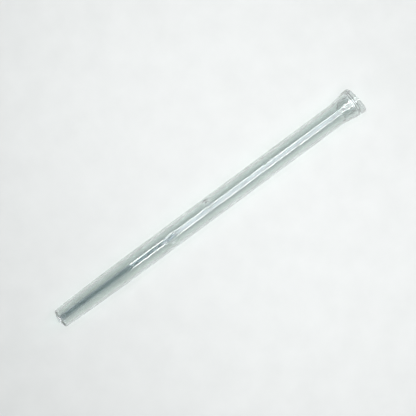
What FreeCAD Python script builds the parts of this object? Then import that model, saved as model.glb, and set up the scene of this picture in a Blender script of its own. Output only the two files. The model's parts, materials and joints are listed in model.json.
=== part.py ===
"""Slim jacketed laboratory condenser in clear glass, in millimetres.

The axis is +X, from the drip end to the vapour mouth, and the origin is the middle of the straight
jacket, where a stand's clamp holds it. A small condensing tube runs down the middle of the jacket,
and cooling water fills the space between them. Glass is fused to glass at every seam, so the
pieces meet face to face. Lengths named below are measured from the drip end.
"""
import FreeCAD
import Part

import math
import os

from FreeCAD import Vector

# Jacket: medium-wall borosilicate tubing.
JACKET_R = 11.0
JACKET_WALL = 2.5
LENGTH = 353.6            # drip end to the middle of the rim
TAPER_LENGTH = 90.0
TIP_R = 9.4
TIP_WALL = 2.3

# Vapour mouth, flared out of the same tube.
BELL_START = 326.0        # also the end of the straight jacket
BELL_LENGTH = 21.0
BELL_R = 13.8
BELL_WALL = 1.8
MOUTH_SKEW_DEG = 6.0      # the hand-cut rim is this far out of square
LIP_LENGTH = 2.4
LIP_CROWN_R = 12.4        # where the rim's end is flat, between its outer and inner rounding
LIP_FULLNESS = 0.6        # share of the lip's length that its outside stays nearly straight

# Condensing tube and the cup that it opens into.
TUBE_R = 3.0
TUBE_WALL = 1.0
CUP_BOTTOM = 329.5
CUP_RIM = 347.9
CUP_R = 9.0
CUP_BORE_R = 7.25
CUP_BORE_LENGTH = 12.0
CUP_SHOULDER_LENGTH = 7.0 # the rounded bottom of the cup, outside
CUP_DRAFT = 0.3           # how much narrower the cup is at its shoulder than at its rim
CUP_SEAL_THICKNESS = 2.0
CUP_SEAL_SAG = 0.45

# Drip end.
END_CORNER_R = 2.3
END_DOME_R = 17.0
END_WALL = 2.4
END_FULLNESS = 0.15       # how far the inside of the end wall bulges past its dome at mid radius
END_CORNER_MIDDLE_DEG = 52.0
NOZZLE_R = 3.6
NOZZLE_LENGTH = 9.5
NOZZLE_BLEND = 0.9        # length of the curve's handles where the nozzle runs down to the tube

# Water ports: the jacket wall is sunk into a shallow dish, and a seat with a hole fills its middle.
PORTS = {
    "water_inlet_port": {"x": 132.6, "angle": -17.0},
    "water_outlet_port": {"x": 179.6, "angle": 35.0},
}
DISH_R = 8.0              # radius of the sphere that shapes the dish
DISH_DEPTH = 1.8
SEAT_R = 3.8              # seam between seat and jacket, inside the dish's edge
PORT_HOLE_R = 2.25

GRIP_X = (TAPER_LENGTH + BELL_START) / 2

AXIS = Vector(1, 0, 0)
ORIGIN = Vector(0, 0, 0)


def at(x, r):
    """A point of a half section: x along the axis, r out from it."""
    return Vector(x, 0, r)


def line(a, b):
    return Part.makeLine(a, b)


def bezier(*poles):
    curve = Part.BezierCurve()
    curve.setPoles(list(poles))
    return curve.toShape()


def arc(a, through, b):
    return Part.Arc(a, through, b).toShape()


def turned(edges, centre=ORIGIN, axis=AXIS):
    """The solid of revolution of a closed half section."""
    face = Part.Face(Part.Wire(edges))
    solid = face.revolve(centre, axis, 360)
    return solid if solid.Volume > 0 else solid.reversed()


def tube(x0, x1, outer, inner):
    """A plain tube along the axis."""
    height = x1 - x0
    outside = Part.makeCylinder(outer, height, Vector(x0, 0, 0), AXIS)
    return outside.cut(Part.makeCylinder(inner, height, Vector(x0, 0, 0), AXIS))


def taper_radius(x):
    """The jacket's outside radius in the drawn-down end."""
    return JACKET_R - (JACKET_R - TIP_R) * (1 - x / TAPER_LENGTH) ** 2


def taper_bore(x):
    """The jacket's inside radius in the drawn-down end."""
    bore, tip_bore = JACKET_R - JACKET_WALL, TIP_R - TIP_WALL
    return bore - (bore - tip_bore) * (1 - x / TAPER_LENGTH) ** 2


def taper_edge(radius, x0):
    """The parabola radius(x) from x0 to the end of the taper, as a quadratic curve."""
    slope = (radius(x0 + 0.001) - radius(x0)) / 0.001
    middle = (x0 + TAPER_LENGTH) / 2
    return bezier(
        at(x0, radius(x0)),
        at(middle, radius(x0) + slope * (middle - x0)),
        at(TAPER_LENGTH, radius(TAPER_LENGTH)),
    )


def port_direction(port):
    """Unit vector out of a port, leaning from +Z towards +Y by the port's angle."""
    angle = math.radians(port["angle"])
    return Vector(0, math.sin(angle), math.cos(angle))


def port_core(port, radius):
    """A rod along a port's axis, from near the condenser's axis to well outside the jacket."""
    start = Vector(port["x"], 0, 0) + port_direction(port) * (TUBE_R + 0.5)
    return Part.makeCylinder(radius, 2 * JACKET_R, start, port_direction(port))


def dish_sphere(port, radius):
    """A ball whose lowest point is the bottom of the dish, or of its back if it is a wall larger."""
    centre = Vector(port["x"], 0, 0) + port_direction(port) * (JACKET_R - DISH_DEPTH + DISH_R)
    return Part.makeSphere(radius, centre)


def dished_jacket(x0, x1, ports):
    """A stretch of straight jacket with its wall, at full thickness, sunk in at each port."""
    wall = tube(x0, x1, JACKET_R, JACKET_R - JACKET_WALL)
    middle_of_wall = Part.makeCylinder(JACKET_R - JACKET_WALL / 2, x1 - x0, Vector(x0, 0, 0), AXIS)
    for port in ports:
        wall = wall.fuse(dish_sphere(port, DISH_R + JACKET_WALL).common(middle_of_wall))
        wall = wall.cut(dish_sphere(port, DISH_R))
    return wall


def jacket_tube():
    straight = dished_jacket(TAPER_LENGTH, BELL_START, PORTS.values())
    for port in PORTS.values():
        straight = straight.cut(port_core(port, SEAT_R))
    return straight


def water_port(port):
    """The seat at the middle of a dish, with the hole that the water goes through."""
    around = dished_jacket(port["x"] - 2 * DISH_R, port["x"] + 2 * DISH_R, [port])
    return around.common(port_core(port, SEAT_R)).cut(port_core(port, PORT_HOLE_R))


def jacket_taper():
    seam = end_seam()
    return turned([
        taper_edge(taper_radius, seam),
        line(at(TAPER_LENGTH, JACKET_R), at(TAPER_LENGTH, JACKET_R - JACKET_WALL)),
        taper_edge(taper_bore, seam),
        line(at(seam, taper_bore(seam)), at(seam, taper_radius(seam))),
    ])


def end_seam():
    """Where the drawn-down jacket meets the domed end seal."""
    return dome_x(TIP_R - END_CORNER_R) + END_CORNER_R


def dome_x(r, offset=0.0):
    """How far the domed end stands back from its crown at radius r, for a surface offset inwards."""
    radius = END_DOME_R - offset
    return END_DOME_R - math.sqrt(radius * radius - r * r)


def lower_ring_seal():
    """The domed end wall between the jacket and the drip nozzle."""
    seam = end_seam()
    outside_r = TIP_R - END_CORNER_R
    outside_middle_r = outside_r / 2 + 1
    turn = math.radians(END_CORNER_MIDDLE_DEG)
    corner_middle = at(
        dome_x(outside_r) + END_CORNER_R * (1 - math.cos(turn)),
        outside_r + END_CORNER_R * math.sin(turn),
    )
    inner_r = taper_bore(seam)
    inside_crown = dome_x(NOZZLE_R, END_WALL)
    inner_middle_r = (inner_r + NOZZLE_R) / 2
    return turned([
        arc(
            at(dome_x(NOZZLE_R), NOZZLE_R),
            at(dome_x(outside_middle_r), outside_middle_r),
            at(dome_x(outside_r), outside_r),
        ),
        arc(at(dome_x(outside_r), outside_r), corner_middle, at(seam, taper_radius(seam))),
        line(at(seam, taper_radius(seam)), at(seam, inner_r)),
        arc(
            at(seam, inner_r),
            at(dome_x(inner_middle_r, END_WALL) + END_FULLNESS, inner_middle_r),
            at(inside_crown, NOZZLE_R),
        ),
        line(at(inside_crown, NOZZLE_R), at(dome_x(NOZZLE_R), NOZZLE_R)),
    ])


def drip_nozzle():
    """The thick-walled outlet: rounded at the drip lip, shouldered down onto the condensing tube."""
    bore = TUBE_R - TUBE_WALL
    lip = (NOZZLE_R - bore) / 2
    shoulder = NOZZLE_LENGTH - 3 * (NOZZLE_R - TUBE_R)
    return turned([
        arc(at(lip, bore), at(0, bore + lip), at(dome_x(NOZZLE_R), NOZZLE_R)),
        line(at(dome_x(NOZZLE_R), NOZZLE_R), at(shoulder, NOZZLE_R)),
        bezier(
            at(shoulder, NOZZLE_R),
            at(shoulder + NOZZLE_BLEND, NOZZLE_R),
            at(NOZZLE_LENGTH - NOZZLE_BLEND, TUBE_R),
            at(NOZZLE_LENGTH, TUBE_R),
        ),
        line(at(NOZZLE_LENGTH, TUBE_R), at(NOZZLE_LENGTH, bore)),
        line(at(NOZZLE_LENGTH, bore), at(lip, bore)),
    ])


def condensing_tube():
    return tube(NOZZLE_LENGTH, CUP_BOTTOM, TUBE_R, TUBE_R - TUBE_WALL)


def cup_shoulder():
    """Where the cup's straight side begins, above its rounded bottom."""
    return at(CUP_BOTTOM + CUP_SHOULDER_LENGTH, CUP_R - CUP_DRAFT)


def vapour_cup():
    """The cup at the top of the condensing tube, whose bore takes the stopper or adapter."""
    bore = TUBE_R - TUBE_WALL
    seat = CUP_RIM - CUP_BORE_LENGTH
    funnel = seat - CUP_BOTTOM
    shoulder = cup_shoulder()
    return turned([
        bezier(
            at(CUP_BOTTOM, TUBE_R),
            at(CUP_BOTTOM + 2.5, TUBE_R),
            at(CUP_BOTTOM + 2.0, CUP_R - 0.4),
            shoulder,
        ),
        line(shoulder, at(CUP_RIM, CUP_R)),
        line(at(CUP_RIM, CUP_R), at(CUP_RIM, CUP_BORE_R)),
        line(at(CUP_RIM, CUP_BORE_R), at(seat, CUP_BORE_R)),
        bezier(
            at(seat, CUP_BORE_R),
            at(seat - funnel / 2, CUP_BORE_R),
            at(seat - 0.44 * funnel, bore),
            at(CUP_BOTTOM, bore),
        ),
        line(at(CUP_BOTTOM, bore), at(CUP_BOTTOM, TUBE_R)),
    ])


def bell_edge(r0, r1):
    """The flare, level at both ends, from radius r0 to radius r1."""
    third = BELL_LENGTH / 3
    return bezier(
        at(BELL_START, r0),
        at(BELL_START + third, r0),
        at(BELL_START + 2 * third, r1),
        at(BELL_START + BELL_LENGTH, r1),
    )


def mouth_axis():
    """The direction square to the skewed rim: longer on the -Y side."""
    skew = math.radians(MOUTH_SKEW_DEG)
    return Vector(math.cos(skew), math.sin(skew), 0)


def mouth_centre():
    """Where the bell is cut off and the melted rim begins."""
    return Vector(LENGTH - LIP_LENGTH - BELL_R * math.tan(math.radians(MOUTH_SKEW_DEG)), 0, 0)


def jacket_bell():
    bore_0, bore_1 = JACKET_R - JACKET_WALL, BELL_R - BELL_WALL
    flare_end = BELL_START + BELL_LENGTH
    overlong = LENGTH + BELL_R
    uncut = turned([
        bell_edge(JACKET_R, BELL_R),
        line(at(flare_end, BELL_R), at(overlong, BELL_R)),
        line(at(overlong, BELL_R), at(overlong, bore_1)),
        line(at(overlong, bore_1), at(flare_end, bore_1)),
        bell_edge(bore_0, bore_1),
        line(at(BELL_START, bore_0), at(BELL_START, JACKET_R)),
    ])
    beyond = Part.makeCylinder(3 * BELL_R, 3 * BELL_R, mouth_centre(), mouth_axis())
    return uncut.cut(beyond)


def mouth_lip():
    """The fire-polished rim on the bell's skewed end: well rounded outside, less so inside."""
    across = Vector(-mouth_axis().y, mouth_axis().x, 0)

    def on_rim(out, r):
        return mouth_centre() + mouth_axis() * out + across * r

    bore = BELL_R - BELL_WALL
    section = [
        Part.makeLine(on_rim(0, bore), on_rim(0, BELL_R)),
        bezier(
            on_rim(0, BELL_R),
            on_rim(LIP_FULLNESS * LIP_LENGTH, BELL_R),
            on_rim(LIP_LENGTH, BELL_R - 0.3),
            on_rim(LIP_LENGTH, LIP_CROWN_R),
        ),
        bezier(
            on_rim(LIP_LENGTH, LIP_CROWN_R),
            on_rim(LIP_LENGTH, bore + 0.1),
            on_rim(LIP_LENGTH - 0.2, bore),
            on_rim(0, bore),
        ),
    ]
    return turned(section, mouth_centre(), mouth_axis())


def upper_ring_seal():
    """The web of glass that closes the jacket between the cup's rim and the bell."""
    start = CUP_RIM - CUP_SEAL_THICKNESS
    bell_bore = BELL_R - BELL_WALL
    cup_at_start = CUP_R - CUP_DRAFT * CUP_SEAL_THICKNESS / (CUP_RIM - cup_shoulder().x)
    middle = (CUP_R + bell_bore) / 2
    bell_at_start = bell_bore_at(start)
    return turned([
        arc(at(start, cup_at_start), at(start + CUP_SEAL_SAG, middle), at(start, bell_at_start)),
        line(at(start, bell_at_start), at(CUP_RIM, bell_bore)),
        arc(at(CUP_RIM, bell_bore), at(CUP_RIM - CUP_SEAL_SAG, middle), at(CUP_RIM, CUP_R)),
        line(at(CUP_RIM, CUP_R), at(start, cup_at_start)),
    ])


def bell_bore_at(x):
    """The bell's inside radius at x."""
    share = min(1.0, (x - BELL_START) / BELL_LENGTH)
    bore_0, bore_1 = JACKET_R - JACKET_WALL, BELL_R - BELL_WALL
    return bore_0 + (bore_1 - bore_0) * share * share * (3 - 2 * share)


def pieces():
    found = {
        "jacket_tube": jacket_tube(),
        "jacket_taper": jacket_taper(),
        "jacket_bell": jacket_bell(),
        "mouth_lip": mouth_lip(),
        "upper_ring_seal": upper_ring_seal(),
        "vapour_cup": vapour_cup(),
        "condensing_tube": condensing_tube(),
        "lower_ring_seal": lower_ring_seal(),
        "drip_nozzle": drip_nozzle(),
    }
    for name, port in PORTS.items():
        found[name] = water_port(port)
    return found


os.makedirs("parts", exist_ok=True)
for node, shape in pieces().items():
    shape.translate(Vector(-GRIP_X, 0, 0))
    shape.exportStep(os.path.join("parts", node + ".step"))
    print(node, len(shape.Solids), "solid", round(shape.Volume, 1), "mm3", shape.isValid())
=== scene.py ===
"""Slim jacketed condenser in clear glass, lying on a pale floor under soft studio light.

The fused glass is one closed surface. It is built once, given the slight unevenness of lamp-worked
glass, and then divided at the seams into one piece for each CAD node. Lengths are in millimetres,
measured from the drip end, until the pieces are made.
"""
import json
import math

import bmesh
import bpy
import numpy as np
from mathutils import Matrix, Vector, noise


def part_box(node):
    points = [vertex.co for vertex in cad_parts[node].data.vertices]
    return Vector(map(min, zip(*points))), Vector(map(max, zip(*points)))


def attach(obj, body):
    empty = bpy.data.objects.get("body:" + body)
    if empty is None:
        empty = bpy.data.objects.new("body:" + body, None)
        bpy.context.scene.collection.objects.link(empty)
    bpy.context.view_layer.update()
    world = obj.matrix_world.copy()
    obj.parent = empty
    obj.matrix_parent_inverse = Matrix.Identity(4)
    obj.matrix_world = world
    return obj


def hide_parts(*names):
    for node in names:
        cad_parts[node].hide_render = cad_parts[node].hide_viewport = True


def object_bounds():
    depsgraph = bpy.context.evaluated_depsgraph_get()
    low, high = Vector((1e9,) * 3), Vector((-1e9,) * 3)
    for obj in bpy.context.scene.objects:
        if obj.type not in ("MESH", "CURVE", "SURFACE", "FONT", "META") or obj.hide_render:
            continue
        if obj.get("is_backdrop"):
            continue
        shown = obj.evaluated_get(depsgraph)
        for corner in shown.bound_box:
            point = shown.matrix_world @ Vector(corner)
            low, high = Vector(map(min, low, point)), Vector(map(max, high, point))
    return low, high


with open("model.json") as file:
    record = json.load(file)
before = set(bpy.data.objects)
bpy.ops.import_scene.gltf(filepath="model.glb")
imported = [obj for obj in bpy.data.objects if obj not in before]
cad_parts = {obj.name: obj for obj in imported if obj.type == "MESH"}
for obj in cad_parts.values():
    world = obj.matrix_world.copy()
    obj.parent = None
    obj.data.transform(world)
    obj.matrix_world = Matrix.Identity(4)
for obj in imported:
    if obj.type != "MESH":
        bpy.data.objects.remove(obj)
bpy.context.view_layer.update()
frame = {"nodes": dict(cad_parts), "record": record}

MM = 0.001
MOUNTS = {m["name"]: m for m in frame["record"]["mounts"]}
SLOTS = {p["node"]: p["material_slot"] for p in frame["record"]["subparts"]}


def mount_radius(name):
    return MOUNTS[name]["dims"]["r_mm"]


def node_span(node):
    """A CAD node's first and last x, in millimetres from the drip end."""
    low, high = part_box(node)
    return (low.x - DRIP_END) / MM, (high.x - DRIP_END) / MM


DRIP_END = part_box("drip_nozzle")[0].x

# Jacket
JACKET_R = mount_radius("clamp_grip")
JACKET_WALL = 2.5
BORE_R = JACKET_R - JACKET_WALL
TAPER_END, BELL_START = node_span("jacket_tube")
TIP_R = 9.4
TIP_WALL = 2.3

# Vapour mouth
BELL_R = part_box("jacket_bell")[1].z / MM
BELL_WALL = 1.8
BELL_BORE = BELL_R - BELL_WALL
BELL_LENGTH = 21.0
MOUTH_SKEW_DEG = 6.0
SKEW = math.tan(math.radians(MOUTH_SKEW_DEG))
SKEW_START = node_span("upper_ring_seal")[1] + 0.1
LIP_LENGTH = 2.4
LIP_FULLNESS = 0.6
LIP_START = node_span("mouth_lip")[1] - LIP_LENGTH - BELL_R * SKEW
LIP_CROWN_R = 12.4

# Condensing tube and cup
TUBE_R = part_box("condensing_tube")[1].z / MM
TUBE_BORE = mount_radius("drip_bore")
TUBE_START, CUP_BOTTOM = node_span("condensing_tube")
CUP_RIM = node_span("vapour_cup")[1]
CUP_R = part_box("vapour_cup")[1].z / MM
CUP_SHOULDER_LENGTH = 7.0
CUP_DRAFT = 0.3
CUP_NECK_R = CUP_R - 0.05           # just under the seal
CUP_BORE = mount_radius("cup_bore")
CUP_BORE_LENGTH = MOUNTS["cup_bore"]["dims"]["length_mm"]
FUNNEL_HANDLES = (3.2, 2.8)
SEAL_THICKNESS = 2.0
SEAL_SAG = 0.45

# Drip end
END_DOME_R = 17.0
END_CORNER_R = 2.3
END_WALL = 2.4
NOZZLE_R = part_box("drip_nozzle")[1].z / MM
NOZZLE_CROWN_R = TUBE_BORE + 0.75
NOZZLE_BLEND = 0.9

# How far a corner's rounding reaches along each side of it
WEB_CORNER = 0.9
CUP_RIM_CORNER = 0.6
TAPER_END_CORNER = 0.8
NOZZLE_CORNER = 0.7
CORNER_STEPS = 8

# Water ports
PORTS = {"water_inlet_port": MOUNTS["water_inlet"], "water_outlet_port": MOUNTS["water_outlet"]}
DISH_R = 8.0
DISH_DEPTH = 1.8
OUTER_BLEND = 1.0
INNER_BLEND = 2.0
SEAT_R = 3.8
HOLE_R = mount_radius("water_inlet")
HOLE_EDGE = 0.35

# A port's patch: its half size on the jacket, and its rings of vertices
BLOCK_HALF_LENGTH = 9.0
BLOCK_HALF_ANGLE = 44
BLOCK_SLACK = 0.01
PATCH_RINGS = 24
PATCH_CROWDING = 1.25
SEAT_RINGS = 5
EDGE_RINGS = 5
HOLE_RINGS = 4

# How far the glass strays from its drawn shape, and how far apart the bumps are
DRAWN_SHIFT, DRAWN_PITCH_ALONG, DRAWN_PITCH_ROUND = 0.02, 120, 12
COARSE_SHIFT, COARSE_SHIFT_WITHIN, COARSE_PITCH = 0.32, 0.55, 4.4
FINE_SHIFT, FINE_SHIFT_WITHIN, FINE_PITCH = 0.12, 0.12, 2.1
TIP_SHIFT, TIP_PITCH = 0.14, 3.6
PORT_SHIFT, PORT_PITCH = 0.28, 3.4
FLARE_FADE = (BELL_START - 4, BELL_START + 10)
WITHIN_FADE = (9.2, 10.5)
TIP_FADE = (3, 16)
PORT_FADE = (5, 12)

# Tints by radius, painting shade and light into the glass. The jacket's run from bore to outer
# skin to flare, and the inner glass's from tube to cup. The outer skin carries the glass's
# grey-green colour, and keeping it there, with the bore left clear, is painted shade that darkens
# the tube's edges. The lighter flare is painted light that stands in for the bell's highlights.
# The seal's lighter skin is painted light that lifts the dark arcs at the drip end, and the inner
# glass's darker tube is painted shade that deepens the dark line down the middle.
# painted shade: the outer skin is darker, so that the tube's edges look darker
SKIN_EDGE_SHADE_TINT = (0.67, 0.705, 0.69, 1)
JACKET_SHADE_AND_LIGHT_TINTS = (
    (9.05, (0.95, 0.97, 0.965, 1)), (9.35, SKIN_EDGE_SHADE_TINT),
    # painted light: past the skin the flare is lighter, standing in for the bell's highlights
    (11.15, SKIN_EDGE_SHADE_TINT), (11.9, (0.82, 0.845, 0.84, 1)),
)
# painted light and shade: the seal's skin is darker than its bore and lighter than the jacket's
# skin
SEAL_SHADE_AND_LIGHT_TINTS = ((9.05, (0.975, 0.985, 0.985, 1)), (9.35, (0.88, 0.895, 0.895, 1)))
# painted shade: the condensing tube is darker, deepening the dark line down the middle
INNER_SHADE_TINTS = ((3.3, (0.76, 0.80, 0.83, 1)), (5.0, (0.96, 0.97, 0.975, 1)))

# How far apart the straight jacket's rings of vertices are, away from the ports and beside them
RING_PITCH = 3.0
PORT_RING_PITCH = 0.6

# Columns of vertices stand at odd degrees from +Z, so that one is in line with each port
TURNS = 180
STEP_DEG = 360 // TURNS
FIRST_DEG = 1


# ---------------------------------------------------------------- profile runs: lists of (x, r)

def straight(a, b, pitch):
    """Points from a to b, no further apart than the pitch."""
    count = max(1, math.ceil(math.dist(a, b) / pitch))
    return [tuple(np.add(a, np.subtract(b, a) * i / count)) for i in range(count + 1)]


def bezier(p0, p1, p2, p3, count):
    points = []
    for i in range(count + 1):
        t = i / count
        weights = ((1 - t) ** 3, 3 * t * (1 - t) ** 2, 3 * t * t * (1 - t), t ** 3)
        points.append(tuple(np.dot(weights, (p0, p1, p2, p3))))
    return points


def cut_back(run, reach):
    """The run without its last stretch of the given length."""
    kept = list(run)
    while len(kept) > 2 and math.dist(kept[-1], kept[-2]) <= reach:
        reach -= math.dist(kept[-1], kept[-2])
        kept.pop()
    step = math.dist(kept[-1], kept[-2])
    share = min(0.9, reach / step)
    kept[-1] = tuple(np.add(kept[-1], np.subtract(kept[-2], kept[-1]) * share))
    return kept


def soften(before, after, reach):
    """Rounds the corner where two runs meet, and parts them again at its middle."""
    corner = before[-1]
    before = cut_back(before, reach)
    after = cut_back(after[::-1], reach)[::-1]
    bend = []
    for i in range(1, CORNER_STEPS):
        t = i / CORNER_STEPS
        weights = ((1 - t) ** 2, 2 * t * (1 - t), t * t)
        bend.append(tuple(np.dot(weights, (before[-1], corner, after[0]))))
    middle = len(bend) // 2
    return before + bend[:middle + 1], bend[middle:] + after


def taper(x, radius, tip_radius):
    """The drawn end's radius at x, as it narrows from the jacket's to the tip's."""
    share = 1 - x / TAPER_END
    return radius - (radius - tip_radius) * share * share


def dome_x(r, wall=0.0):
    """Where the end's dome, or its inside at the given wall, stands at a radius."""
    return END_DOME_R - math.sqrt((END_DOME_R - wall) ** 2 - r * r)


def end_seam():
    """Where the rounded end meets the drawn taper."""
    return dome_x(TIP_R - END_CORNER_R) + END_CORNER_R


def bell(x, r0, r1):
    """The flare's radius at x, as it opens from r0 to r1."""
    share = min(1.0, (x - BELL_START) / BELL_LENGTH)
    return r0 + (r1 - r0) * share * share * (3 - 2 * share)


def jacket_stations():
    """Where the straight jacket's rings stand: closer together beside the ports."""
    stretches = []
    for port in PORTS.values():
        x = port_x(port)
        stretches.append((x - BLOCK_HALF_LENGTH, RING_PITCH))
        stretches.append((x + BLOCK_HALF_LENGTH, PORT_RING_PITCH))
    stretches.append((BELL_START, RING_PITCH))
    stations = [TAPER_END]
    for end, pitch in stretches:
        stations += [p[0] for p in straight((stations[-1], 0), (end, 0), pitch)][1:]
    return stations


def port_x(port):
    return (port["pos_m"][0] - DRIP_END) / MM


def port_degrees(port):
    """The port's lean from +Z towards +Y."""
    return round(math.degrees(math.atan2(port["axis"][1], port["axis"][2])))


def outer_runs():
    """The outside of the glass from the drip end to the mouth, and back down the bore."""
    seam = end_seam()
    lip = (NOZZLE_R - TUBE_BORE) / 2
    nozzle = straight((TUBE_START, TUBE_BORE), (lip, TUBE_BORE), 1.0)[:-1]
    nozzle += bezier(
        (lip, TUBE_BORE), (0.2, TUBE_BORE), (0, TUBE_BORE + 0.35), (0, NOZZLE_CROWN_R), 8
    )[:-1]
    nozzle += bezier(
        (0, NOZZLE_CROWN_R), (0, TUBE_BORE + 1.1),
        (dome_x(NOZZLE_R - 0.25), NOZZLE_R - 0.25), (dome_x(NOZZLE_R), NOZZLE_R), 6,
    )
    shoulder_r = TIP_R - END_CORNER_R
    rim = taper(seam, JACKET_R, TIP_R)
    end = [(dome_x(r), r) for r in np.linspace(NOZZLE_R, shoulder_r, 12)][:-1]
    end += bezier(
        (dome_x(shoulder_r), shoulder_r),
        (dome_x(shoulder_r) + 0.55, shoulder_r + 1.2),
        (seam - 1.25, rim - 0.06),
        (seam, rim),
        12,
    )
    drawn = [(x, taper(x, JACKET_R, TIP_R)) for x in np.linspace(seam, TAPER_END, 40)]
    tube = [(x, JACKET_R) for x in jacket_stations()]
    flare = [(x, bell(x, JACKET_R, BELL_R)) for x in np.linspace(BELL_START, SKEW_START, 44)]
    flare += [(x, BELL_R) for x in np.linspace(SKEW_START, LIP_START, 6)][1:]
    crown = LIP_START + LIP_LENGTH
    rim_run = bezier(
        (LIP_START, BELL_R), (LIP_START + LIP_FULLNESS * LIP_LENGTH, BELL_R),
        (crown, BELL_R - 0.3), (crown, LIP_CROWN_R), 14,
    )[:-1]
    rim_run += bezier(
        (crown, LIP_CROWN_R), (crown, BELL_BORE + 0.1),
        (crown - 0.2, BELL_BORE), (LIP_START, BELL_BORE), 12,
    )
    recess = [(x, BELL_BORE) for x in np.linspace(LIP_START, SKEW_START, 6)][:-1]
    recess += [(SKEW_START, BELL_BORE), (CUP_RIM, BELL_BORE)]
    web = sagging((CUP_RIM, BELL_BORE), (CUP_RIM, CUP_R), -SEAL_SAG)
    recess, web = soften(recess, web, WEB_CORNER)
    seat = CUP_RIM - CUP_BORE_LENGTH
    rim_top = straight((CUP_RIM, CUP_R), (CUP_RIM, CUP_BORE), 0.4)
    bore = straight((CUP_RIM, CUP_BORE), (seat, CUP_BORE), 0.8)
    rim_top, bore = soften(rim_top, bore, CUP_RIM_CORNER)
    funnel = bezier(
        (seat, CUP_BORE), (seat - FUNNEL_HANDLES[0], CUP_BORE),
        (seat - FUNNEL_HANDLES[1], TUBE_BORE), (CUP_BOTTOM, TUBE_BORE), 24,
    )
    cup = rim_top[:-1] + bore[:-1] + funnel
    tube_bore = straight((CUP_BOTTOM, TUBE_BORE), (TUBE_START, TUBE_BORE), 4.0)
    return [
        ("drip_nozzle", nozzle), ("lower_ring_seal", end), ("jacket_taper", drawn),
        ("jacket_tube", tube), ("jacket_bell", flare), ("mouth_lip", rim_run),
        ("jacket_bell", recess), ("upper_ring_seal", web), ("vapour_cup", cup),
        ("condensing_tube", tube_bore),
    ]


def sagging(a, b, sag):
    """A shallow curve from a to b, bowed along x by the sag."""
    handle = 1.33 * sag     # a cubic bows by three quarters of its handles
    return bezier(
        a, (a[0] + handle, a[1] + (b[1] - a[1]) / 3),
        (b[0] + handle, a[1] + (b[1] - a[1]) * 2 / 3), b, 10,
    )


def inner_runs():
    """The walls of the water space: up the condensing tube, and back down the jacket's bore."""
    seam = end_seam()
    crown = dome_x(NOZZLE_R, END_WALL)
    shoulder = TUBE_START - 3 * (NOZZLE_R - TUBE_R)
    nozzle = straight((crown, NOZZLE_R), (shoulder, NOZZLE_R), 0.6)[:-1]
    nozzle += bezier(
        (shoulder, NOZZLE_R), (shoulder + NOZZLE_BLEND, NOZZLE_R),
        (TUBE_START - NOZZLE_BLEND, TUBE_R), (TUBE_START, TUBE_R), 8,
    )
    tube = straight((TUBE_START, TUBE_R), (CUP_BOTTOM, TUBE_R), 4.0)
    shoulder = (CUP_BOTTOM + CUP_SHOULDER_LENGTH, CUP_R - CUP_DRAFT)
    cup = bezier(
        (CUP_BOTTOM, TUBE_R), (CUP_BOTTOM + 2.5, TUBE_R),
        (CUP_BOTTOM + 2.0, CUP_R - 0.4), shoulder, 20,
    )[:-1]
    start = CUP_RIM - SEAL_THICKNESS
    cup += straight(shoulder, (start, CUP_NECK_R), 0.8)
    web = sagging((start, CUP_NECK_R), (start, bell(start, BORE_R, BELL_BORE)), SEAL_SAG)
    flare = [(x, bell(x, BORE_R, BELL_BORE)) for x in np.linspace(start, BELL_START, 40)]
    cup, web = soften(cup, web, WEB_CORNER)
    web, flare = soften(web, flare, WEB_CORNER)
    jacket = [(x, BORE_R) for x in jacket_stations()[::-1]]
    tip_bore = TIP_R - TIP_WALL
    drawn = [(x, taper(x, BORE_R, tip_bore)) for x in np.linspace(TAPER_END, seam, 40)]
    inner_r = drawn[-1][1]
    end = bezier(
        (seam, inner_r), (seam - 0.25, inner_r - 1.2), (crown + 0.5, NOZZLE_R + 1.2),
        (crown, NOZZLE_R), 12,
    )
    drawn, end = soften(drawn, end, TAPER_END_CORNER)
    end, nozzle = soften(end, nozzle, NOZZLE_CORNER)
    return [
        ("drip_nozzle", nozzle), ("condensing_tube", tube), ("vapour_cup", cup),
        ("upper_ring_seal", web), ("jacket_bell", flare), ("jacket_tube", jacket),
        ("jacket_taper", drawn), ("lower_ring_seal", end),
    ]


# ---------------------------------------------------------------- the fused surface

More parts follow.
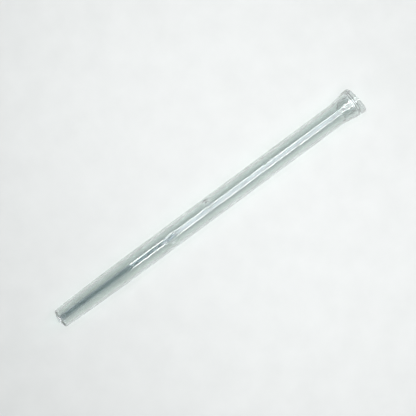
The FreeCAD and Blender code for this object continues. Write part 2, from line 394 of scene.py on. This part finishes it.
class Glass:
    """One closed surface, whose faces remember which piece they belong to."""

    def __init__(self):
        self.points = []
        self.faces = []
        self.owners = []
        self.seams = {}

    def add_ring(self, points):
        first = len(self.points)
        self.points += [tuple(p) for p in points]
        return list(range(first, len(self.points)))

    def revolve(self, x, r):
        """A ring round the axis. Past SKEW_START it leans over with the mouth."""
        lean = SKEW * min(1.0, max(0.0, (x - SKEW_START) / (LIP_START - SKEW_START)))
        ring = []
        for i in range(TURNS):
            angle = math.radians(STEP_DEG * i + FIRST_DEG)
            y, z = r * math.sin(angle), r * math.cos(angle)
            ring.append((x - lean * y, y, z))
        return self.add_ring(ring)

    def band(self, ring_a, ring_b, owner, leave_out=()):
        count = len(ring_a)
        for i in range(count):
            if i in leave_out:
                continue
            j = (i + 1) % count
            self.faces.append((ring_a[i], ring_a[j], ring_b[j], ring_b[i]))
            self.owners.append(owner)

    def note_seam(self, owner_a, owner_b, ring):
        self.seams.setdefault(frozenset((owner_a, owner_b)), []).append(ring)

    def loop(self, runs):
        """Turns a closed chain of runs about the axis. Returns the straight jacket's rings."""
        first = self.revolve(*runs[0][1][0])
        self.note_seam(runs[-1][0], runs[0][0], first)
        ring = first
        jacket = []
        for number, (owner, run) in enumerate(runs):
            last_run = number == len(runs) - 1
            if owner == "jacket_tube":
                jacket.append(ring)
            for index, (x, r) in enumerate(run[1:], 1):
                closing = last_run and index == len(run) - 1
                following = first if closing else self.revolve(x, r)
                holes = self.block_columns(run[index - 1][0], x) if owner == "jacket_tube" else ()
                self.band(ring, following, owner, leave_out=holes)
                ring = following
                if owner == "jacket_tube":
                    jacket.append(ring)
            if not last_run:
                self.note_seam(owner, runs[number + 1][0], ring)
        return jacket

    def block_columns(self, xa, xb):
        """The faces to leave out between two stations, where a port's patch goes."""
        middle = (xa + xb) / 2
        for port in PORTS.values():
            if abs(middle - port_x(port)) < BLOCK_HALF_LENGTH:
                return set(port_columns(port)[:-1])
        return ()


def port_columns(port):
    """The columns of vertices across a port's patch, with its two edges."""
    centre = (port_degrees(port) - FIRST_DEG) // STEP_DEG
    half = BLOCK_HALF_ANGLE // STEP_DEG
    return [(centre + k) % TURNS for k in range(-half, half + 1)]


def smooth_min(a, b, blend):
    h = min(1.0, max(0.0, 0.5 + 0.5 * (b - a) / blend))
    return b * (1 - h) + a * h - blend * h * (1 - h)


def wall_height(a, b, radius, ball, blend):
    """Height above the axis, along a port's axis, of the wall that the dish is sunk into."""
    flat = math.sqrt(max(0.0, radius * radius - b * b))
    reach = ball * ball - a * a - b * b
    if reach <= 0:
        return flat
    return smooth_min(flat, JACKET_R - DISH_DEPTH + DISH_R - math.sqrt(reach), blend)


def block_border(rings, stations, port):
    """The square of existing vertices round a port's patch, in order."""
    x = port_x(port)
    rows = [
        ring for station, ring in sorted(zip(stations, rings))
        if abs(station - x) < BLOCK_HALF_LENGTH + BLOCK_SLACK
    ]
    columns = port_columns(port)
    border = [rows[0][c] for c in columns]
    border += [row[columns[-1]] for row in rows[1:]]
    border += [rows[-1][c] for c in columns[::-1]][1:]
    border += [row[columns[0]] for row in rows[::-1]][1:-1]
    return border


def add_port(glass, name, port, outer, inner):
    """Fills the two openings left for a port with a dish, its back, and the hole between them."""
    x, lean = port_x(port), math.radians(port_degrees(port))
    up = np.array((0, math.sin(lean), math.cos(lean)))
    side = np.array((0, math.cos(lean), -math.sin(lean)))
    along = np.array((1, 0, 0))
    origin = np.array((x, 0, 0))

    def place(a, b, height):
        return origin + along * a + side * b + up * height

    rims = []
    hole_angles = None
    for (rings, stations), radius, ball, blend, sign in (
        (outer, JACKET_R, DISH_R, OUTER_BLEND, -1),
        (inner, BORE_R, DISH_R + JACKET_WALL, INNER_BLEND, 1),
    ):
        border = block_border(rings, stations, port)
        offsets = [np.array(glass.points[index]) - origin for index in border]
        flat = [(offset @ along, offset @ side) for offset in offsets]
        if hole_angles is None:
            hole_angles = [math.atan2(b, a) for a, b in flat]
        circle = [(math.cos(t), math.sin(t)) for t in hole_angles]

        def wall_ring(positions, drop=0.0):
            return glass.add_ring([
                place(a, b, wall_height(a, b, radius, ball, blend) + drop) for a, b in positions
            ])

        previous = border
        for k in range(1, PATCH_RINGS + 1):
            share = (1 - k / PATCH_RINGS) ** PATCH_CROWDING
            ring = wall_ring([
                (SEAT_R * c * (1 - share) + a * share, SEAT_R * s * (1 - share) + b * share)
                for (c, s), (a, b) in zip(circle, flat)
            ])
            glass.band(previous, ring, "jacket_tube")
            previous = ring
        glass.note_seam("jacket_tube", name, previous)
        for r in np.linspace(SEAT_R, HOLE_R + HOLE_EDGE, SEAT_RINGS + 1)[1:]:
            ring = wall_ring([(r * c, r * s) for c, s in circle])
            glass.band(previous, ring, name)
            previous = ring
        for k in range(1, EDGE_RINGS + 1):
            turn = math.radians(90 * k / EDGE_RINGS)
            r = HOLE_R + HOLE_EDGE * (1 - math.sin(turn))
            drop = HOLE_EDGE * (1 - math.cos(turn)) * sign
            ring = wall_ring([(r * c, r * s) for c, s in circle], drop)
            glass.band(previous, ring, name)
            previous = ring
        rims.append(previous)
    top, bottom = rims
    previous = top
    for k in range(1, HOLE_RINGS):
        share = k / HOLE_RINGS
        ring = glass.add_ring([
            np.array(glass.points[a]) * (1 - share) + np.array(glass.points[b]) * share
            for a, b in zip(top, bottom)
        ])
        glass.band(previous, ring, name)
        previous = ring
    glass.band(previous, bottom, name)


def step_between(x, start, end):
    share = min(1.0, max(0.0, (x - start) / (end - start)))
    return share * share * (3 - 2 * share)


def bumps(point, pitch, offset=(0, 0, 0)):
    """Smooth noise whose bumps stand about the pitch apart."""
    return noise.noise(Vector(point) / pitch + Vector(offset))


def uneven(point):
    """Where a point of the drawn shape lies once the glass has been worked in the lamp."""
    x, y, z = point
    shift = DRAWN_SHIFT * noise.noise(
        Vector((x / DRAWN_PITCH_ALONG, y / DRAWN_PITCH_ROUND, z / DRAWN_PITCH_ROUND)))
    within = 1 - step_between(math.hypot(y, z), *WITHIN_FADE)
    coarse = COARSE_SHIFT + COARSE_SHIFT_WITHIN * within
    fine = FINE_SHIFT + FINE_SHIFT_WITHIN * within
    crumpled = bumps(point, COARSE_PITCH, (3.1, 0, 7.7)) * coarse
    crumpled += bumps(point, FINE_PITCH) * fine
    shift += step_between(x, *FLARE_FADE) * crumpled
    end = bumps(point, TIP_PITCH, (9.0, 2.0, 0)) * TIP_SHIFT
    shift += (1 - step_between(x, *TIP_FADE)) * end
    for port in PORTS.values():
        centre = Vector((port_x(port), 0, 0))
        away = (Vector(point) - centre - Vector(port["axis"]) * JACKET_R).length
        shift += bumps(point, PORT_PITCH) * PORT_SHIFT * (1 - step_between(away, *PORT_FADE))
    r = max(1e-6, math.hypot(y, z))
    return (x, y + shift * y / r, z + shift * z / r)


def build_glass():
    glass = Glass()
    stations = jacket_stations()
    outer = glass.loop(outer_runs())
    inner = glass.loop(inner_runs())
    for name, port in PORTS.items():
        add_port(glass, name, port, (outer, stations), (inner, stations[::-1]))
    glass.points = [uneven(p) for p in glass.points]
    return glass


def row_point(point):
    """From millimetres past the drip end to metres in the row frame."""
    return Vector((DRIP_END + point[0] * MM, point[1] * MM, point[2] * MM))


def surface_normals(glass):
    """Smooth normals of the whole surface, so that no seam shows between pieces."""
    mesh = bpy.data.meshes.new("whole")
    mesh.from_pydata([row_point(p) for p in glass.points], [], glass.faces)
    bm = bmesh.new()
    bm.from_mesh(mesh)
    bmesh.ops.recalc_face_normals(bm, faces=bm.faces)
    bm.to_mesh(mesh)
    bm.free()
    normals = np.zeros(len(mesh.vertices) * 3, np.float32)
    mesh.vertex_normals.foreach_get("vector", normals)
    flipped = [tuple(p.vertices) for p in mesh.polygons]
    bpy.data.meshes.remove(mesh)
    return normals.reshape(-1, 3), flipped


def make_piece(glass, normals, faces, node, materials):
    """One node's share of the surface, closed at its seams by faces that nothing shows on."""
    skin = [face for face, owner in zip(faces, glass.owners) if owner == node]
    seams = []
    for pair, rings in glass.seams.items():
        if node in pair:
            a, b = rings
            count = len(a)
            seams += [(a[i], a[(i + 1) % count], b[(i + 1) % count], b[i]) for i in range(count)]
    used = sorted({v for face in skin + seams for v in face})
    place = {v: i for i, v in enumerate(used)}
    mesh = bpy.data.meshes.new("glass_" + node)
    mesh.from_pydata(
        [row_point(glass.points[v]) for v in used], [],
        [tuple(place[v] for v in face) for face in skin + seams],
    )
    for polygon in mesh.polygons:
        polygon.material_index = 0 if polygon.index < len(skin) else 1
        polygon.use_smooth = True
    bm = bmesh.new()
    bm.from_mesh(mesh)
    bmesh.ops.recalc_face_normals(bm, faces=bm.faces)
    bm.to_mesh(mesh)
    bm.free()
    mesh.normals_split_custom_set_from_vertices([tuple(normals[v]) for v in used])
    for material in materials:
        mesh.materials.append(material)
    piece = bpy.data.objects.new("glass_" + node, mesh)
    bpy.context.scene.collection.objects.link(piece)
    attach(piece, "root")
    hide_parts(node)


# ---------------------------------------------------------------- materials, in metres

GLASS_IOR = 1.474
COAT_ROUGHNESS = 0.06
STREAK_SCALE = (5.0, 260.0, 260.0)
STREAK_TINTS = ((0.35, (0.97, 0.97, 0.97, 1)), (0.65, (1.0, 1.0, 1.0, 1)))
STREAK_DEPTH = 0.0001
RIPPLE_SCALE = 160.0
RIPPLE_DEPTH = 0.0002
HAZE_SCALE = 45.0
HAZE_ROUGHNESS = ((0.45, (0.0, 0.0, 0.0, 1)), (0.80, (0.05, 0.05, 0.05, 1)))
SHADOW_TINT = (0.83, 0.86, 0.85, 1)


class Graph:
    """A node tree, built up by adding nodes that are fed by earlier ones."""

    def __init__(self, tree):
        self.nodes, self.links = tree.nodes, tree.links

    def add(self, kind, settings=(), **inputs):
        """A new node. Each input is a value, or the socket that feeds it."""
        node = self.nodes.new("ShaderNode" + kind)
        for name, value in settings:
            setattr(node, name, value)
        for name, value in inputs.items():
            socket = node.inputs[name.replace("_", " ")]
            if isinstance(value, bpy.types.NodeSocket):
                self.links.new(value, socket)
            else:
                socket.default_value = value
        return node

    def ramp(self, value, stops):
        node = self.add("ValToRGB", Fac=value)
        elements = node.color_ramp.elements
        while len(elements) > 1:
            elements.remove(elements[-1])
        elements[0].position, elements[0].color = stops[0]
        for position, colour in stops[1:]:
            elements.new(position).color = colour
        return node.outputs["Color"]

    def length(self, vector):
        return self.add("VectorMath", (("operation", "LENGTH"),), Vector=vector).outputs["Value"]

    def mix(self, share, first, second):
        """The first shader where the share is 0, and the second where it is 1."""
        node = self.nodes.new("ShaderNodeMixShader")
        for source, socket in zip((share, first.outputs[0], second.outputs[0]), node.inputs):
            self.links.new(source, socket)
        return node

    def finish(self, shader):
        self.add("OutputMaterial", Surface=shader.outputs[0])


def new_material(name):
    material = bpy.data.materials.new(name)
    material.use_nodes = True
    material.node_tree.nodes.clear()
    return material, Graph(material.node_tree)


def glass_material(name, shade_and_light_tints, streak_bump, ripple_bump):
    """Clear glass with draw lines along the tube, faint ripples and a trace of haze.

    Tinted by radius, it paints shade and light, so that a thick wall still shows at its edges.
    """
    material, graph = new_material(name)
    place = graph.add("TexCoord").outputs["Object"]
    lengthwise = graph.add("Mapping", Scale=STREAK_SCALE, Vector=place).outputs["Vector"]
    streaks = graph.add("TexNoise", Scale=1.0, Detail=2.0, Vector=lengthwise).outputs["Fac"]
    ripples = graph.add("TexNoise", Scale=RIPPLE_SCALE, Detail=1.0, Vector=place).outputs["Fac"]
    haze = graph.add("TexNoise", Scale=HAZE_SCALE, Detail=4.0, Vector=place).outputs["Fac"]

    across = graph.add("Mapping", Scale=(0.0, 1.0, 1.0), Vector=place).outputs["Vector"]
    inmost, outmost = shade_and_light_tints[0][0], shade_and_light_tints[-1][0]
    # painted shade and light: the glass's colour is set by its distance from the axis
    shade_mask = graph.add(
        "MapRange", From_Min=inmost * MM, From_Max=outmost * MM, Value=graph.length(across))
    painted_shade_and_light = graph.ramp(
        shade_mask.outputs["Result"], [((r - inmost) / (outmost - inmost), c) for r, c in shade_and_light_tints])
    drawn_tint = graph.ramp(streaks, STREAK_TINTS)
    # the painted shade and light, times the draw lines' own tone
    streaked_shade_and_light = graph.add(
        "Mix", (("data_type", "RGBA"), ("blend_type", "MULTIPLY")),
        Factor=1.0, A=painted_shade_and_light, B=drawn_tint)
    rough = graph.ramp(haze, HAZE_ROUGHNESS)
    drawn = graph.add("Bump", Strength=streak_bump, Distance=STREAK_DEPTH, Height=streaks)
    rippled = graph.add(
        "Bump", Strength=ripple_bump, Distance=RIPPLE_DEPTH, Height=ripples,
        Normal=drawn.outputs["Normal"])

    surface = graph.add(
        "BsdfPrincipled", Transmission_Weight=1.0, IOR=GLASS_IOR, Coat_Weight=1.0,
        Coat_Roughness=COAT_ROUGHNESS, Base_Color=streaked_shade_and_light.outputs["Result"], Roughness=rough,
        Normal=rippled.outputs["Normal"])
    clear = graph.add("BsdfTransparent", Color=SHADOW_TINT)
    shadow = graph.add("LightPath").outputs["Is Shadow Ray"]
    graph.finish(graph.mix(shadow, surface, clear))
    return material


def seam_material():
    """Where glass is fused to glass there is nothing to see."""
    material, graph = new_material("fused_seam")
    graph.finish(graph.add("BsdfTransparent"))
    return material


# ---------------------------------------------------------------- studio, in metres

FLOOR_HALF_SIDE = 1.0
FLOOR_FADE = (0.35, 0.9)
FLOOR_SHADES = ((0.3, (0.70, 0.72, 0.71, 1)), (0.7, (0.73, 0.75, 0.74, 1)))
ROOM_SHADES = (
    (0.0, (0.85, 0.87, 0.87, 1)), (0.25, (0.75, 0.77, 0.77, 1)), (0.65, (0.10, 0.105, 0.104, 1)),
)

WHITE = (1.0, 1.0, 1.0)
WARM = (1.0, 0.99, 0.98)
ROSY = (1.0, 0.965, 1.0)
COOL = (0.99, 0.985, 1.0)
PANELS = (
    # name, centre, size, target, power in watts, colour
    ("key", (2.2, -0.10, 2.0), (0.22, 0.80), (0, 0, 0), 25.0, WARM),
    ("softbox", (0.047, -0.02, 0.55), (0.43, 0.30), (0.047, -0.02, 0), 0.90, ROSY),
    ("strip_left", (0.014, 0.215, 0.55), (0.06, 0.37), (0.014, 0.215, 0), 1.0, COOL),
    ("strip_right", (0.014, -0.255, 0.55), (0.06, 0.37), (0.014, -0.255, 0), 1.0, COOL),
    ("end_left", (-2.4, 0, 0.569), (1.067, 0.533), (0, 0, 0), 19.0, WHITE),
    ("end_right", (2.4, 0, 0.569), (1.067, 0.533), (0, 0, 0), 19.0, WHITE),
)

CAMERA_RISE_DEG = 36.5
CAMERA_AIM = (DRIP_END + 0.1774, 0.00118)
CAMERA_HEIGHT = 1.1
VIEW_WIDTH = 0.3945
SENSOR_WIDTH_MM = 36.0

LIGHT_BOUNCES = 64


def floor_material():
    """A pale floor that gives way to the pale room well outside the picture."""
    material, graph = new_material("pale_floor")
    place = graph.add("TexCoord").outputs["Object"]
    grain = graph.add("TexNoise", Scale=40.0, Detail=6.0, Vector=place).outputs["Fac"]
    surface = graph.add(
        "BsdfPrincipled", Roughness=0.9, Base_Color=graph.ramp(grain, FLOOR_SHADES))
    fade = graph.add(
        "MapRange", (("interpolation_type", "SMOOTHSTEP"),),
        From_Min=FLOOR_FADE[0], From_Max=FLOOR_FADE[1], Value=graph.length(place))
    clear = graph.add("BsdfTransparent")
    graph.finish(graph.mix(fade.outputs["Result"], surface, clear))
    return material


def add_floor(z):
    bm = bmesh.new()
    bmesh.ops.create_grid(bm, x_segments=1, y_segments=1, size=FLOOR_HALF_SIDE)
    mesh = bpy.data.meshes.new("floor")
    bm.to_mesh(mesh)
    bm.free()
    mesh.materials.append(floor_material())
    floor = bpy.data.objects.new("floor", mesh)
    floor.location.z = z
    bpy.context.scene.collection.objects.link(floor)
    floor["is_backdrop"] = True


def add_panel(name, centre, size, target, power, colour):
    """A rectangular soft light that faces its target.

    Its first size is nearly level, across the condenser. Its second is at right angles to that.
    """
    data = bpy.data.lights.new(name, "AREA")
    data.shape = "RECTANGLE"
    data.size, data.size_y = size
    data.energy = power
    data.color = colour
    lamp = bpy.data.objects.new(name, data)
    lamp.location = centre
    facing = (Vector(target) - Vector(centre)).normalized()
    across = facing.cross(Vector((1, 0, 0))).normalized()
    along = across.cross(facing)
    lamp.rotation_euler = Matrix((across, along, -facing)).transposed().to_euler()
    bpy.context.scene.collection.objects.link(lamp)


def add_world():
    """A room that is pale towards the horizon and dark overhead."""
    world = bpy.data.worlds.new("studio")
    world.use_nodes = True
    graph = Graph(world.node_tree)
    direction = graph.add("TexCoord").outputs["Generated"]
    height = graph.add("SeparateXYZ", Vector=direction).outputs["Z"]
    background = graph.nodes["Background"]
    background.inputs["Strength"].default_value = 1.0
    graph.links.new(graph.ramp(height, ROOM_SHADES), background.inputs["Color"])
    bpy.context.scene.world = world


def add_camera():
    """Straight above the condenser, turned so that the mouth points up and to the right."""
    data = bpy.data.cameras.new("camera")
    data.sensor_width = SENSOR_WIDTH_MM
    data.lens = data.sensor_width * CAMERA_HEIGHT / VIEW_WIDTH
    camera = bpy.data.objects.new("camera", data)
    camera.location = (*CAMERA_AIM, CAMERA_HEIGHT)
    camera.rotation_euler = (0, 0, -math.radians(CAMERA_RISE_DEG))
    bpy.context.scene.collection.objects.link(camera)
    bpy.context.scene.camera = camera


# ---------------------------------------------------------------- the scene

glass = build_glass()
normals, faces = surface_normals(glass)
finishes = {
    # each finish paints shade and light into the glass by radius
    "jacket_glass": glass_material("jacket_glass", JACKET_SHADE_AND_LIGHT_TINTS, 0.05, 0.02),
    "seal_glass": glass_material("seal_glass", SEAL_SHADE_AND_LIGHT_TINTS, 0.10, 0.20),
    "inner_glass": glass_material("inner_glass", INNER_SHADE_TINTS, 0.06, 0.02),
}
seam = seam_material()
for node in frame["nodes"]:
    make_piece(glass, normals, faces, node, (finishes[SLOTS[node]], seam))

add_floor(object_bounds()[0].z)
add_world()
for panel in PANELS:
    add_panel(*panel)
add_camera()

scene = bpy.context.scene
scene.view_settings.view_transform = "Standard"
scene.cycles.max_bounces = LIGHT_BOUNCES
scene.cycles.transmission_bounces = LIGHT_BOUNCES
scene.cycles.glossy_bounces = LIGHT_BOUNCES
scene.cycles.transparent_max_bounces = LIGHT_BOUNCES
